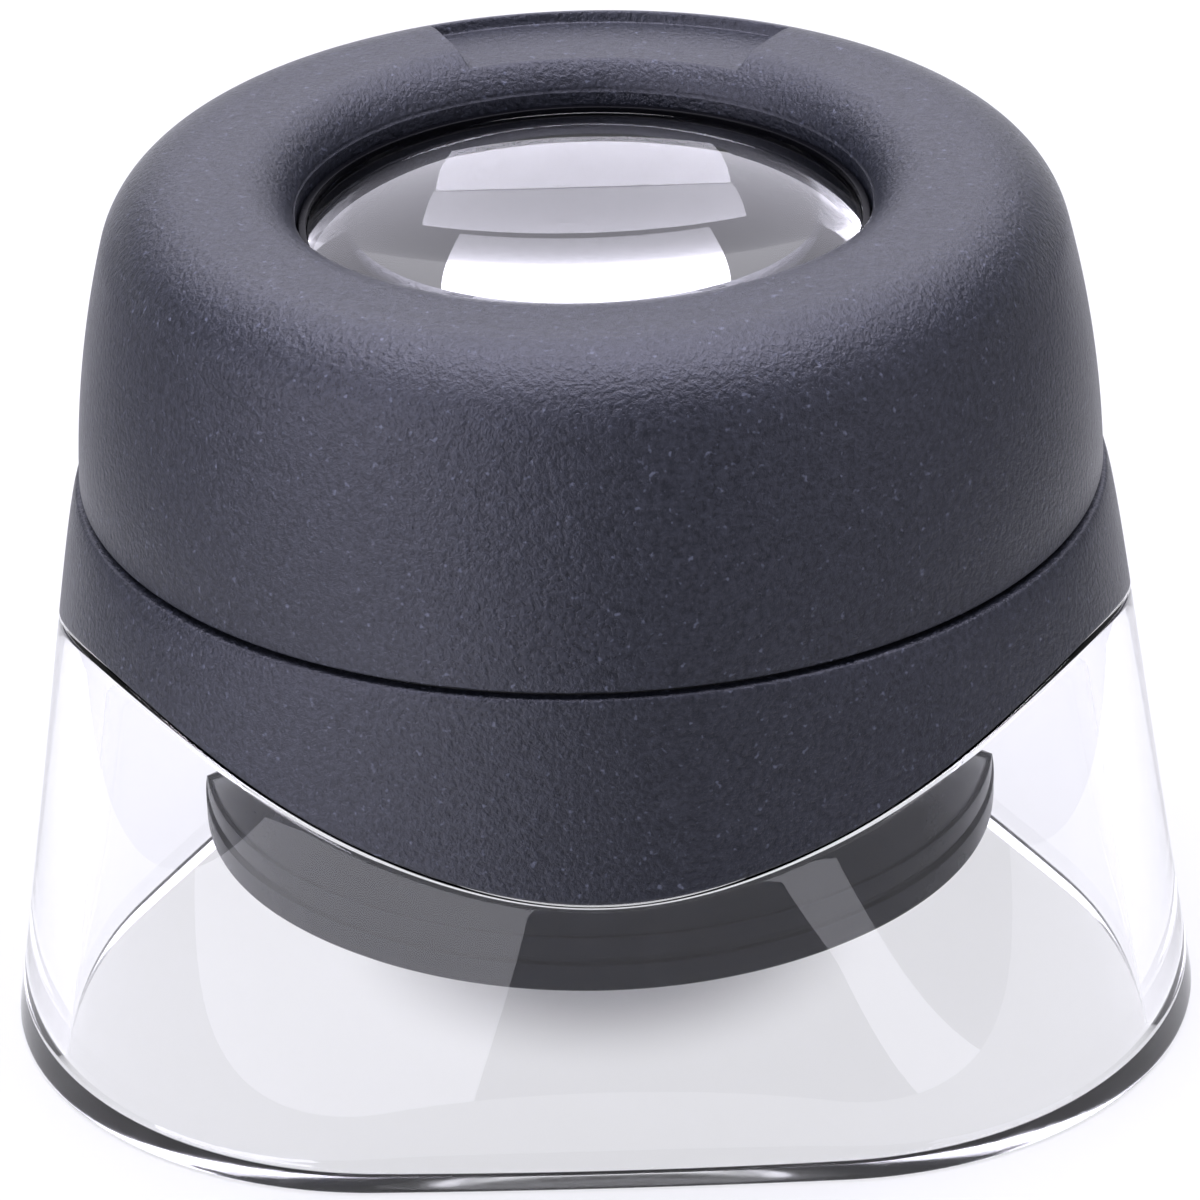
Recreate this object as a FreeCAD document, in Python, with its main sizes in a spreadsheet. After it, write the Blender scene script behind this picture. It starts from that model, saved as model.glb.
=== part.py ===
import FreeCAD, Part
import math
import os

import Sketcher
from FreeCAD import Placement, Rotation, Vector

# Viewing loupe on a clear stand, in millimetres.
# +Z is up along the optical axis; the origin is where that axis meets the surface
# that the loupe stands on. One flat side of the stand faces -Y, one corner faces +Y.

DOC = FreeCAD.newDocument("ViewingLoupe")

DIMENSIONS = {
    # Outer form: the seam circle is also the circle inscribed in the triangular foot.
    "seam_radius": 27.0,
    "seam_height": 28.6,
    "seam_gap": 0.3,
    "corner_reach": 13.2,
    "corner_growth": 0.64,
    "side_arc_foot": 1.5,
    "side_arc_seam": 20.0,
    "skirt_low": 16.8,
    "skirt_high": 23.9,
    "skirt_gap": 0.12,
    "foot_chamfer": 0.4,
    # Grip cap.
    "cap_foot_radius": 26.9,
    "cap_edge_round": 0.35,
    "cap_side_arc": 57.1,
    "cap_shoulder_radius": 25.03,
    "cap_shoulder_height": 41.38,
    "cap_shoulder_arc": 5.0,
    "crest_radius": 20.2,
    "crest_height": 45.1,
    "crest_inner_radius": 18.1,
    "crest_inner_arc": 3.45,
    "eye_radius": 14.9,
    "eye_rim_height": 42.94,
    "cap_roof": 41.2,
    "cap_hub_radius": 22.9,
    "cap_hub_height": 38.0,
    "cap_cone_height": 33.0,
    "cap_bore_radius": 24.9,
    "clip_groove_radius": 25.4,
    "clip_groove_low": 30.0,
    "clip_groove_high": 31.2,
    "plaque_floor": 44.37,
    "plaque_inner_radius": 15.4,
    "plaque_outer_radius": 21.4,
    "plaque_half_angle": 27.3,
    "plaque_turn": 5.0,
    # Collar.
    "collar_wall": 1.6,
    "collar_plate_low": 26.4,
    "collar_hole_radius": 19.45,
    "neck_inner_radius": 22.7,
    "neck_radius": 24.5,
    "neck_height": 32.6,
    "neck_root": 0.5,
    "neck_groove_radius": 24.05,
    "neck_groove_low": 30.1,
    "neck_groove_high": 31.1,
    "ring_groove_radius": 25.8,
    "ring_groove_width": 1.1,
    "ring_groove_depth": 0.85,
    "drag_ring_thickness": 1.0,
    # Clear stand.
    "stand_wall": 3.0,
    "stand_tongue_gap": 0.1,
    "stand_height": 26.2,
    # Guide sleeve, fixed in the collar.
    "guide_radius": 17.7,
    "guide_outer_radius": 19.3,
    "guide_flange_radius": 22.6,
    "guide_low": 24.2,
    "guide_high": 40.6,
    "screw_circle": 21.1,
    "screw_radius": 1.0,
    "screw_clearance": 0.15,
    "screw_head_radius": 1.7,
    "screw_head_height": 1.2,
    "screw_socket_flats": 1.3,
    "screw_socket_depth": 0.7,
    "screw_tip": 28.0,
    # Cam sleeve, pressed into the cap.
    "cam_radius": 19.4,
    "cam_outer_radius": 21.2,
    "cam_flange_radius": 22.8,
    "cam_low": 28.7,
    "cam_flange_low": 39.5,
    "cam_lead": 16.0,
    "turn_up": 15.0,
    "turn_down": 75.0,
    "slot_clearance": 0.15,
    # Follower pins of the lens barrel.
    "pin_radius": 1.0,
    "pin_height": 35.2,
    "pin_inner_end": 15.9,
    "pin_outer_end": 21.0,
    # Lens barrel.
    "barrel_low": 9.0,
    "barrel_chamfer": 0.3,
    "barrel_flange_radius": 21.3,
    "barrel_flange_high": 10.6,
    "barrel_groove_radius": 20.95,
    "barrel_groove_high": 11.0,
    "barrel_bead_radius": 21.2,
    "barrel_bead_high": 12.2,
    "barrel_skirt_radius": 21.0,
    "barrel_skirt_bore": 19.6,
    "barrel_step_low": 16.8,
    "barrel_step_high": 18.3,
    "barrel_tube_radius": 17.6,
    "barrel_tube_bore": 15.6,
    "barrel_tube_low": 14.2,
    "barrel_tube_foot_radius": 17.2,
    "barrel_seat_radius": 14.4,
    "barrel_seat_height": 15.2,
    "barrel_counterbore": 16.5,
    "barrel_counterbore_low": 36.9,
    "barrel_high": 38.1,
    # Lenses.
    "lens_clear_radius": 14.3,
    "lens_rim_radius": 15.4,
    "lower_lens_curve": 40.7,
    "lower_lens_rim_high": 16.8,
    "upper_lens_low": 34.4,
    "upper_lens_rim_high": 37.8,
    "upper_lens_edge": 41.9,
    "upper_lens_top_curve": 44.0,
    "upper_lens_under_curve": 40.0,
    "spacer_bore": 14.35,
    "spacer_radius": 15.45,
    "cushion_bore": 14.6,
    "cushion_radius": 15.5,
    # Eyepiece bezel.
    "bezel_bore": 14.35,
    "bezel_nose_radius": 14.78,
    "bezel_nose_high": 42.2,
    "bezel_flange_radius": 17.5,
    "bezel_flange_high": 39.3,
    "bezel_spigot_bore": 15.65,
    "bezel_spigot_radius": 16.45,
    "bezel_spigot_low": 37.0,
    # Retaining clip between collar and cap.
    "clip_bore": 24.1,
    "clip_radius": 25.1,
    "clip_low": 30.15,
    "clip_high": 31.05,
    "clip_opening": 4.0,
    # How far a cutting solid runs past the face that it cuts.
    "cut_margin": 1.0,
}

PLACES = 3                      # screws, pins and slots repeat this often round the axis
PIN_START_ANGLE = 30.0          # first pin, counter-clockwise from +X
SCREW_START_ANGLE = 90.0        # first screw, between two pins
CORNER_START_ANGLE = -30.0      # first corner of the stand
SKIRT_POINTS = 24               # points of the curve that shapes the collar's lower edge
LOFT_STEPS = 9                  # sections of the outer form between seam and foot
LOFT_CROWDING = 1.5             # above 1, the sections crowd towards the seam
LOFT_DEGREE = 3
CUTTER_REACH = 40.0             # half size of the solids that only cut
CUTTER_CORE = 1.0               # inner radius of the ring-shaped cutting surface
ABOVE_FOOT = 1.0                # height clear of the foot's chamfer, where trimming may start
SECTOR = 360.0 / PLACES


# ---------------------------------------------------------------- dimensions

def make_sheet():
    """Write every driving dimension to the spreadsheet, one alias for each."""
    sheet = DOC.addObject("Spreadsheet::Sheet", "Dims")
    for row, (alias, value) in enumerate(DIMENSIONS.items(), start=1):
        sheet.set(f"A{row}", alias)
        sheet.set(f"B{row}", str(value))
        sheet.setAlias(f"B{row}", alias)
    DOC.recompute()
    return sheet


SHEET = make_sheet()


class Size:
    """A length known as a number and as the spreadsheet expression that gives it."""

    def __init__(self, value, text):
        self.value = value
        self.text = text

    def __add__(self, other):
        return Size(self.value + other.value, f"({self.text} + {other.text})")

    def __sub__(self, other):
        return Size(self.value - other.value, f"({self.text} - {other.text})")

    def __mul__(self, factor):
        return Size(self.value * factor, f"({self.text} * {factor})")


def dim(alias):
    """The dimension of that name."""
    return Size(float(SHEET.get(alias)), f"Dims.{alias}")


def number(alias):
    """The plain number of a dimension."""
    return float(SHEET.get(alias))


ZERO = Size(0.0, "0")


# ---------------------------------------------------------------- sketch helpers

def origin_plane(body, role):
    """One of the body's own origin planes."""
    return next(item for item in body.Origin.OriginFeatures if item.Role == role)


def attached_sketch(body, name, role, height=None):
    """A sketch on an origin plane, raised along the plane's normal if a height is given."""
    sketch = body.newObject("Sketcher::SketchObject", name)
    sketch.AttachmentSupport = (origin_plane(body, role), [""])
    sketch.MapMode = "FlatFace"
    if height is not None:
        sketch.setExpression("AttachmentOffset.Base.z", height.text)
        sketch.AttachmentOffset = Placement(Vector(0, 0, height.value), Rotation())
    return sketch


def arc_between(start, end, radius):
    """Arc from start to end; a positive radius bulges to the left of the way along it."""
    chord = end - start
    half = chord.Length / 2
    rise = abs(radius) - math.sqrt(radius ** 2 - half ** 2)
    left = Vector(-chord.y, chord.x, 0).normalize()
    middle = (start + end) * 0.5 + left * math.copysign(rise, radius)
    return Part.Arc(start, middle, end)


def draw_outline(sketch, outline):
    """Draw a closed outline of (across, up, arc radius of the edge that follows or None)."""
    points = [Vector(across.value, up.value, 0) for across, up, _ in outline]
    count = len(outline)
    for index, (_, _, arc) in enumerate(outline):
        start = points[index]
        end = points[(index + 1) % count]
        if arc is None:
            sketch.addGeometry(Part.LineSegment(start, end))
        else:
            sketch.addGeometry(arc_between(start, end, arc.value))
    for index in range(count):
        arc = outline[index][2]
        following = (index + 1) % count
        leaves_at = end_lying_at(sketch, index, points[following])
        joins_at = end_lying_at(sketch, following, points[following])
        sketch.addConstraint(
            Sketcher.Constraint("Coincident", index, leaves_at, following, joins_at))
        if arc is not None:
            place = sketch.addConstraint(
                Sketcher.Constraint("Radius", index, abs(arc.value)))
            sketch.setExpression(f"Constraints[{place}]", f"abs({arc.text})")
    for index, (across, up, _) in enumerate(outline):
        corner = end_lying_at(sketch, index, points[index])
        fix_point(sketch, index, corner, across, up)


def end_lying_at(sketch, index, place):
    """Which end of an edge, 1 or 2, lies at a place."""
    gap = (sketch.getPoint(index, 1) - place).Length
    other = (sketch.getPoint(index, 2) - place).Length
    return 1 if gap <= other else 2


def fix_point(sketch, index, corner, across, up):
    """Tie both coordinates of one end of an edge to their dimensions."""
    for kind, axis, size in (("DistanceX", -2, across), ("DistanceY", -1, up)):
        if size is ZERO:
            sketch.addConstraint(Sketcher.Constraint("PointOnObject", index, corner, axis))
        else:
            place = sketch.addConstraint(
                Sketcher.Constraint(kind, -1, 1, index, corner, size.value))
            sketch.setExpression(f"Constraints[{place}]", size.text)


# ---------------------------------------------------------------- solid helpers

def turned_body(label, outline):
    """A body turned about the Z axis from an outline of (radius, height, arc) corners."""
    body = DOC.addObject("PartDesign::Body", label)
    body.Label = label
    sketch = attached_sketch(body, f"{label}_outline", "XZ_Plane")
    draw_outline(sketch, outline)
    turn = body.newObject("PartDesign::Revolution", f"{label}_turned")
    turn.Profile = sketch
    turn.ReferenceAxis = (sketch, ["V_Axis"])
    turn.Angle = 360.0
    DOC.recompute()
    return body


def polar(radius, angle, height=0.0):
    """Point at a radius and an angle in degrees, counter-clockwise from +X."""
    turn = math.radians(angle)
    return Vector(radius * math.cos(turn), radius * math.sin(turn), height)


def radial_rod(label, radius, inner, outer, height, angle):
    """A cylinder that lies along a radius of the loupe."""
    rod = DOC.addObject("Part::Cylinder", label)
    rod.setExpression("Radius", radius.text)
    rod.setExpression("Height", (outer - inner).text)
    rod.Placement = Placement(
        polar(inner.value, angle, height.value),
        Rotation(Vector(0, 0, 1), angle) * Rotation(Vector(0, 1, 0), 90))
    return rod


def add_feature(kind, label, **links):
    """A Part feature with its links set."""
    feature = DOC.addObject(kind, label)
    feature.Label = label
    for name, value in links.items():
        setattr(feature, name, value)
    return feature


def shape_feature(label, shape):
    """A feature that carries a shape made with Part functions."""
    feature = DOC.addObject("Part::Feature", label)
    feature.Label = label
    feature.Shape = shape
    feature.Placement = Placement()
    return feature


def disc(radius, low, high):
    """A plain cylinder about the Z axis."""
    return Part.makeCylinder(radius, high - low, Vector(0, 0, low))


# ---------------------------------------------------------------- rounded triangle

def share_of_height(height):
    """How far down from the seam a height is: 0 at the seam, 1 at the foot."""
    return (number("seam_height") - height) / number("seam_height")


def triangle_section(depth, inset, height):
    """
    Closed wire of the outer form at a depth share, moved inwards by an inset.

    Three corner arcs centred at the reach from the axis alternate with three flatter side
    arcs. Every side stays tangent to the seam circle, and with no reach the wire is that
    circle.
    """
    reach = number("corner_reach") * depth ** number("corner_growth")
    side_angle = number("side_arc_seam")
    side_angle += (number("side_arc_foot") - side_angle) * depth
    half_side = math.radians(side_angle)
    sine = math.sin(math.radians(60))
    corner = number("seam_radius") - reach * (sine * math.tan(half_side / 2) + 0.5)
    side = corner + reach * sine / math.sin(half_side)
    side_centre = reach * (sine / math.tan(half_side) - 0.5)
    edges = []
    for place in range(PLACES):
        corner_way = CORNER_START_ANGLE + SECTOR * place
        side_way = corner_way + SECTOR / 2
        edges.append(section_arc(
            polar(reach, corner_way, height), corner - inset,
            corner_way, 60.0 - side_angle))
        edges.append(section_arc(
            polar(side_centre, side_way + 180.0, height), side - inset,
            side_way, side_angle))
    return Part.Wire(edges)


def section_arc(centre, radius, direction, half_span):
    """Level arc about a centre, half a span each side of a direction."""
    ends = [centre + polar(radius, direction + turn) for turn in (-half_span, 0, half_span)]
    return Part.Arc(*ends).toShape()


def outer_form(inset=0.0):
    """Solid of the stand's outer form from foot to seam, moved inwards by an inset."""
    seam = number("seam_height")
    chamfer = number("foot_chamfer")
    levels = [(step / LOFT_STEPS) ** LOFT_CROWDING for step in range(LOFT_STEPS + 1)]
    wires = [triangle_section(level, inset, seam * (1 - level)) for level in levels]
    form = Part.makeLoft(wires, True, False, False, LOFT_DEGREE)
    if inset > 0:
        return form
    foot = share_of_height(chamfer)
    upper = form.common(disc(CUTTER_REACH, chamfer, seam))
    lower = Part.makeLoft(
        [triangle_section(foot, chamfer, 0.0), triangle_section(foot, 0.0, chamfer)],
        True, True)
    return upper.fuse(lower)


def skirt_edge_height(angle):
    """Height of the collar's lower edge: low at each side's middle, high at each corner."""
    low = number("skirt_low")
    rise = number("skirt_high") - low
    return low + rise * (1 + math.cos(math.radians(PLACES * (angle - CORNER_START_ANGLE)))) / 2


def below_skirt(drop):
    """Solid of everything below the collar's lower edge, lowered by a drop."""
    rails = []
    for radius in (CUTTER_CORE, CUTTER_REACH):
        points = []
        for step in range(SKIRT_POINTS):
            angle = 360.0 * step / SKIRT_POINTS
            points.append(polar(radius, angle, skirt_edge_height(angle) - drop))
        curve = Part.BSplineCurve()
        curve.interpolate(Points=points, PeriodicFlag=True)
        rails.append(curve.toShape())
    surface = Part.makeRuledSurface(rails[0], rails[1])
    return surface.extrude(Vector(0, 0, -CUTTER_REACH))


# ---------------------------------------------------------------- the stand

def make_clear_stand():
    """Clear stand: a three-cornered skirt with a thinner tongue that rises in the collar."""
    wall = number("stand_wall")
    tongue_inset = number("collar_wall") + number("stand_tongue_gap")
    visible = outer_form().common(below_skirt(number("skirt_gap")))
    tongue = outer_form(tongue_inset).common(disc(CUTTER_REACH, ABOVE_FOOT, number("stand_height")))
    stand = visible.fuse(tongue).cut(outer_form(wall))
    return shape_feature("clear_stand", stand.removeSplitter())


def make_collar():
    """Collar: round at the seam, flaring to the stand, with a neck that the cap turns on."""
    seam_face = number("seam_height") - number("seam_gap") / 2
    plate_low = number("collar_plate_low")
    shell = outer_form().common(disc(CUTTER_REACH, ABOVE_FOOT, seam_face))
    cavity = outer_form(number("collar_wall")).common(disc(CUTTER_REACH, 0.0, plate_low))
    collar = shell.cut(cavity).cut(below_skirt(0.0))
    neck = disc(number("neck_radius"), seam_face - number("neck_root"), number("neck_height"))
    neck = neck.cut(disc(number("neck_inner_radius"), 0.0, CUTTER_REACH * 2))
    groove = disc(CUTTER_REACH, number("neck_groove_low"), number("neck_groove_high"))
    groove = groove.cut(disc(number("neck_groove_radius"), 0.0, CUTTER_REACH * 2))
    ring_middle = number("ring_groove_radius")
    ring_half = number("ring_groove_width") / 2
    ring_low = seam_face - number("ring_groove_depth")
    ring_groove = disc(ring_middle + ring_half, ring_low, CUTTER_REACH)
    ring_groove = ring_groove.cut(disc(ring_middle - ring_half, 0.0, CUTTER_REACH * 2))
    collar = collar.cut(ring_groove).fuse(neck.cut(groove))
    collar = collar.cut(disc(number("collar_hole_radius"), 0.0, CUTTER_REACH * 2))
    margin = number("cut_margin")
    for place in range(PLACES):
        angle = SCREW_START_ANGLE + SECTOR * place
        hole = disc(number("screw_radius"), plate_low - margin, number("screw_tip"))
        hole.translate(polar(number("screw_circle"), angle))
        collar = collar.cut(hole)
    return shape_feature("collar", collar.removeSplitter())


def make_guide_sleeve():
    """Guide sleeve: a flanged tube with an upright slot for each follower pin."""
    body = turned_body("guide_sleeve", [
        (dim("guide_radius"), dim("guide_low"), None),
        (dim("guide_flange_radius"), dim("guide_low"), None),
        (dim("guide_flange_radius"), dim("collar_plate_low"), None),
        (dim("guide_outer_radius"), dim("collar_plate_low"), None),
        (dim("guide_outer_radius"), dim("guide_high"), None),
        (dim("guide_radius"), dim("guide_high"), None),
    ])
    cut_screw_holes(body)
    low, high = pin_travel()
    width = dim("pin_radius") + dim("slot_clearance")
    cutters = []
    for place in range(PLACES):
        angle = PIN_START_ANGLE + SECTOR * place
        cutters.append(upright_slot(f"guide_slot_{place}", width, low, high, angle))
    slots = add_feature("Part::MultiFuse", "guide_slots", Shapes=cutters)
    body.Label = "guide_sleeve_blank"
    return add_feature("Part::Cut", "guide_sleeve", Base=body, Tool=slots)


def cut_screw_holes(body):
    """Clearance holes through the guide sleeve's flange, one patterned round the axis."""
    sketch = attached_sketch(body, "screw_hole_circle", "XY_Plane", dim("collar_plate_low"))
    size = dim("screw_radius") + dim("screw_clearance")
    centre = Vector(0, number("screw_circle"), 0)
    sketch.addGeometry(Part.Circle(centre, Vector(0, 0, 1), size.value))
    sketch.addConstraint(Sketcher.Constraint("PointOnObject", 0, 3, -2))
    place = sketch.addConstraint(
        Sketcher.Constraint("DistanceY", -1, 1, 0, 3, number("screw_circle")))
    sketch.setExpression(f"Constraints[{place}]", "Dims.screw_circle")
    place = sketch.addConstraint(Sketcher.Constraint("Radius", 0, size.value))
    sketch.setExpression(f"Constraints[{place}]", size.text)
    hole = body.newObject("PartDesign::Pocket", "screw_hole")
    hole.Profile = sketch
    hole.setExpression("Length", "Dims.collar_plate_low - Dims.guide_low")
    pattern = body.newObject("PartDesign::PolarPattern", "screw_holes")
    pattern.Originals = [hole]
    pattern.Axis = (sketch, ["N_Axis"])
    pattern.Angle = 360.0
    pattern.Occurrences = PLACES
    body.Tip = pattern
    DOC.recompute()


def pin_travel():
    """Lowest and highest heights of the follower pins' axes."""
    lead = dim("cam_lead")
    low = dim("pin_height") - lead * (number("turn_down") / 360.0)
    high = dim("pin_height") + lead * (number("turn_up") / 360.0)
    return low, high


def upright_slot(label, half_width, low, high, angle):
    """Round-ended upright slot through the sleeve wall, as a solid that cuts it."""
    inner = dim("guide_radius") - dim("pin_radius")
    outer = dim("guide_outer_radius") + dim("pin_radius")
    ends = [radial_rod(f"{label}_{name}", half_width, inner, outer, height, angle)
            for name, height in (("foot", low), ("head", high))]
    web = DOC.addObject("Part::Box", f"{label}_web")
    web.setExpression("Length", (outer - inner).text)
    web.setExpression("Width", (half_width * 2).text)
    web.setExpression("Height", (high - low).text)
    web.Placement = Placement(
        polar(inner.value, angle, low.value) + polar(half_width.value, angle - 90),
        Rotation(Vector(0, 0, 1), angle))
    return add_feature("Part::MultiFuse", label, Shapes=ends + [web])


def make_guide_screws():
    """Three identical screws with hexagon sockets, up through the guide sleeve's flange."""
    screws = []
    for place in range(PLACES):
        centre = polar(number("screw_circle"), SCREW_START_ANGLE + SECTOR * place)
        head_low = dim("guide_low") - dim("screw_head_height")
        shank = DOC.addObject("Part::Cylinder", f"screw_shank_{place}")
        shank.setExpression("Radius", "Dims.screw_radius")
        shank.setExpression("Height", "Dims.screw_tip - Dims.guide_low")
        shank.Placement.Base = centre + Vector(0, 0, number("guide_low"))
        head = DOC.addObject("Part::Cylinder", f"screw_head_{place}")
        head.setExpression("Radius", "Dims.screw_head_radius")
        head.setExpression("Height", "Dims.screw_head_height")
        head.Placement.Base = centre + Vector(0, 0, head_low.value)
        whole = add_feature("Part::Fuse", f"screw_blank_{place}", Base=head, Tool=shank)
        socket = DOC.addObject("Part::Prism", f"screw_socket_{place}")
        socket.Polygon = 6
        socket.setExpression("Circumradius", "Dims.screw_socket_flats / sqrt(3)")
        socket.setExpression("Height", "Dims.screw_socket_depth")
        socket.Placement.Base = centre + Vector(0, 0, head_low.value)
        screws.append(add_feature("Part::Cut", f"screw_{place}", Base=whole, Tool=socket))
    return add_feature("Part::Compound", "guide_screws", Links=screws)


def make_cap_clip():
    """Open snap ring that holds the cap down on the collar's neck."""
    body = turned_body("cap_clip", [
        (dim("clip_bore"), dim("clip_low"), None),
        (dim("clip_radius"), dim("clip_low"), None),
        (dim("clip_radius"), dim("clip_high"), None),
        (dim("clip_bore"), dim("clip_high"), None),
    ])
    body.Label = "cap_clip_ring"
    opening = DOC.addObject("Part::Box", "cap_clip_opening")
    opening.setExpression("Length", "Dims.clip_opening")
    opening.setExpression("Width", "Dims.clip_radius + Dims.cut_margin")
    opening.setExpression("Height", "Dims.clip_high - Dims.clip_low + 2 * Dims.cut_margin")
    margin = number("cut_margin")
    opening.Placement.Base = Vector(
        -number("clip_opening") / 2, -number("clip_radius") - margin,
        number("clip_low") - margin)
    return add_feature("Part::Cut", "cap_clip", Base=body, Tool=opening)


def make_drag_ring():
    """Rubber ring under the cap's foot that gives the turning its drag."""
    ring = DOC.addObject("Part::Torus", "drag_ring")
    ring.Label = "drag_ring"
    half = dim("drag_ring_thickness") * 0.5
    ring.setExpression("Radius1", "Dims.ring_groove_radius")
    ring.setExpression("Radius2", half.text)
    groove_floor = number("seam_height") - number("seam_gap") / 2 - number("ring_groove_depth")
    ring.Placement.Base = Vector(0, 0, groove_floor + half.value)
    return ring


# ---------------------------------------------------------------- the turning cap

def make_focus_cap():
    """Grip cap: a turned shell with a rolled crown, and a plain recess where a name would go."""
    edge = dim("cap_edge_round")
    foot = dim("seam_height") + dim("seam_gap") * 0.5
    body = turned_body("focus_cap", [
        (dim("cap_bore_radius"), foot, None),
        (dim("cap_foot_radius") - edge, foot, edge * -1),
        (dim("cap_foot_radius"), foot + edge, dim("cap_side_arc") * -1),
        (dim("cap_shoulder_radius"), dim("cap_shoulder_height"),
         dim("cap_shoulder_arc") * -1),
        (dim("crest_radius"), dim("crest_height"), None),
        (dim("crest_inner_radius"), dim("crest_height"), dim("crest_inner_arc") * -1),
        (dim("eye_radius"), dim("eye_rim_height"), None),
        (dim("eye_radius"), dim("cap_roof"), None),
        (dim("cap_hub_radius"), dim("cap_roof"), None),
        (dim("cap_hub_radius"), dim("cap_hub_height"), None),
        (dim("cap_bore_radius"), dim("cap_cone_height"), None),
        (dim("cap_bore_radius"), dim("clip_groove_high"), None),
        (dim("clip_groove_radius"), dim("clip_groove_high"), None),
        (dim("clip_groove_radius"), dim("clip_groove_low"), None),
        (dim("cap_bore_radius"), dim("clip_groove_low"), None),
    ])
    cut_plaque(body)
    return body


def cut_plaque(body):
    """Flat-floored arc recess in the crown, between two radial ends."""
    solid_before = body.Shape.Volume
    sketch_height = dim("crest_height") + dim("cap_edge_round")
    sketch = attached_sketch(body, "plaque_outline", "XY_Plane", sketch_height)
    middle = 90.0 - number("plaque_turn")
    half = number("plaque_half_angle")
    inner = number("plaque_inner_radius")
    outer = number("plaque_outer_radius")
    sketch.addGeometry(Part.Arc(*[polar(outer, middle + turn) for turn in (-half, 0, half)]))
    sketch.addGeometry(Part.LineSegment(polar(outer, middle + half), polar(inner, middle + half)))
    sketch.addGeometry(Part.Arc(*[polar(inner, middle + turn) for turn in (half, 0, -half)]))
    sketch.addGeometry(Part.LineSegment(polar(inner, middle - half), polar(outer, middle - half)))
    corners = [polar(radius, middle + turn) for radius, turn in
               ((outer, -half), (outer, half), (inner, half), (inner, -half))]
    for index in range(4):
        following = (index + 1) % 4
        sketch.addConstraint(Sketcher.Constraint(
            "Coincident", index, end_lying_at(sketch, index, corners[following]),
            following, end_lying_at(sketch, following, corners[following])))
    for index, alias in ((0, "plaque_outer_radius"), (2, "plaque_inner_radius")):
        sketch.addConstraint(Sketcher.Constraint("Coincident", index, 3, -1, 1))
        place = sketch.addConstraint(Sketcher.Constraint("Radius", index, number(alias)))
        sketch.setExpression(f"Constraints[{place}]", f"Dims.{alias}")
    for index in (1, 3):
        sketch.addConstraint(Sketcher.Constraint("Block", index))
    pocket = body.newObject("PartDesign::Pocket", "plaque_recess")
    pocket.Profile = sketch
    pocket.setExpression("Length", (sketch_height - dim("plaque_floor")).text)
    DOC.recompute()
    if not body.Shape.Volume < solid_before:
        raise RuntimeError("the plaque recess removed nothing")


def make_cam_sleeve():
    """Cam sleeve: a flanged tube with three rising slots that carry the follower pins."""
    body = turned_body("cam_sleeve", [
        (dim("cam_radius"), dim("cam_low"), None),
        (dim("cam_outer_radius"), dim("cam_low"), None),
        (dim("cam_outer_radius"), dim("cam_flange_low"), None),
        (dim("cam_flange_radius"), dim("cam_flange_low"), None),
        (dim("cam_flange_radius"), dim("cap_roof"), None),
        (dim("cam_radius"), dim("cap_roof"), None),
    ])
    body.Label = "cam_sleeve_blank"
    low, high = pin_travel()
    half_width = number("pin_radius") + number("slot_clearance")
    inner = number("cam_radius") - number("pin_radius")
    outer = number("cam_outer_radius") + number("pin_radius")
    foot_angle = PIN_START_ANGLE + number("turn_down")
    head_angle = PIN_START_ANGLE - number("turn_up")
    runs = cam_slot_run(inner, outer, half_width, high.value - low.value)
    runs.rotate(Vector(), Vector(0, 0, 1), foot_angle)
    runs.translate(Vector(0, 0, low.value))
    ends = [Part.makeCylinder(half_width, outer - inner, polar(inner, angle, height),
                              polar(1.0, angle))
            for angle, height in ((foot_angle, low.value), (head_angle, high.value))]
    sleeve = body
    for label, cutter in (("cam_slot_runs", [runs]), ("cam_slot_ends", ends)):
        before = sleeve.Shape.Volume
        slots = shape_feature(label, around_the_axis(cutter))
        name = "cam_sleeve" if cutter is ends else "cam_sleeve_run_cut"
        sleeve = add_feature("Part::Cut", name, Base=sleeve, Tool=slots)
        DOC.recompute()
        if not sleeve.Shape.Volume < before:
            raise RuntimeError(f"{label} cut nothing")
    return sleeve


def cam_slot_run(inner, outer, half_width, rise):
    """One slot between its round ends: a low profile swept along a left-handed helix."""
    helix = Part.makeHelix(number("cam_lead"), rise, (inner + outer) / 2, 0, True)
    corners = [Vector(inner, 0, -half_width), Vector(outer, 0, -half_width),
               Vector(outer, 0, half_width), Vector(inner, 0, half_width)]
    profile = Part.makePolygon(corners + corners[:1])
    return Part.Wire(helix.Edges).makePipeShell([profile], True, True)


def around_the_axis(shapes):
    """The shapes repeated at the three places round the loupe's axis."""
    copies = []
    for place in range(PLACES):
        for shape in shapes:
            copy = shape.copy()
            copy.rotate(Vector(), Vector(0, 0, 1), SECTOR * place)
            copies.append(copy)
    return Part.makeCompound(copies)


# ---------------------------------------------------------------- the sliding lens cell

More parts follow.
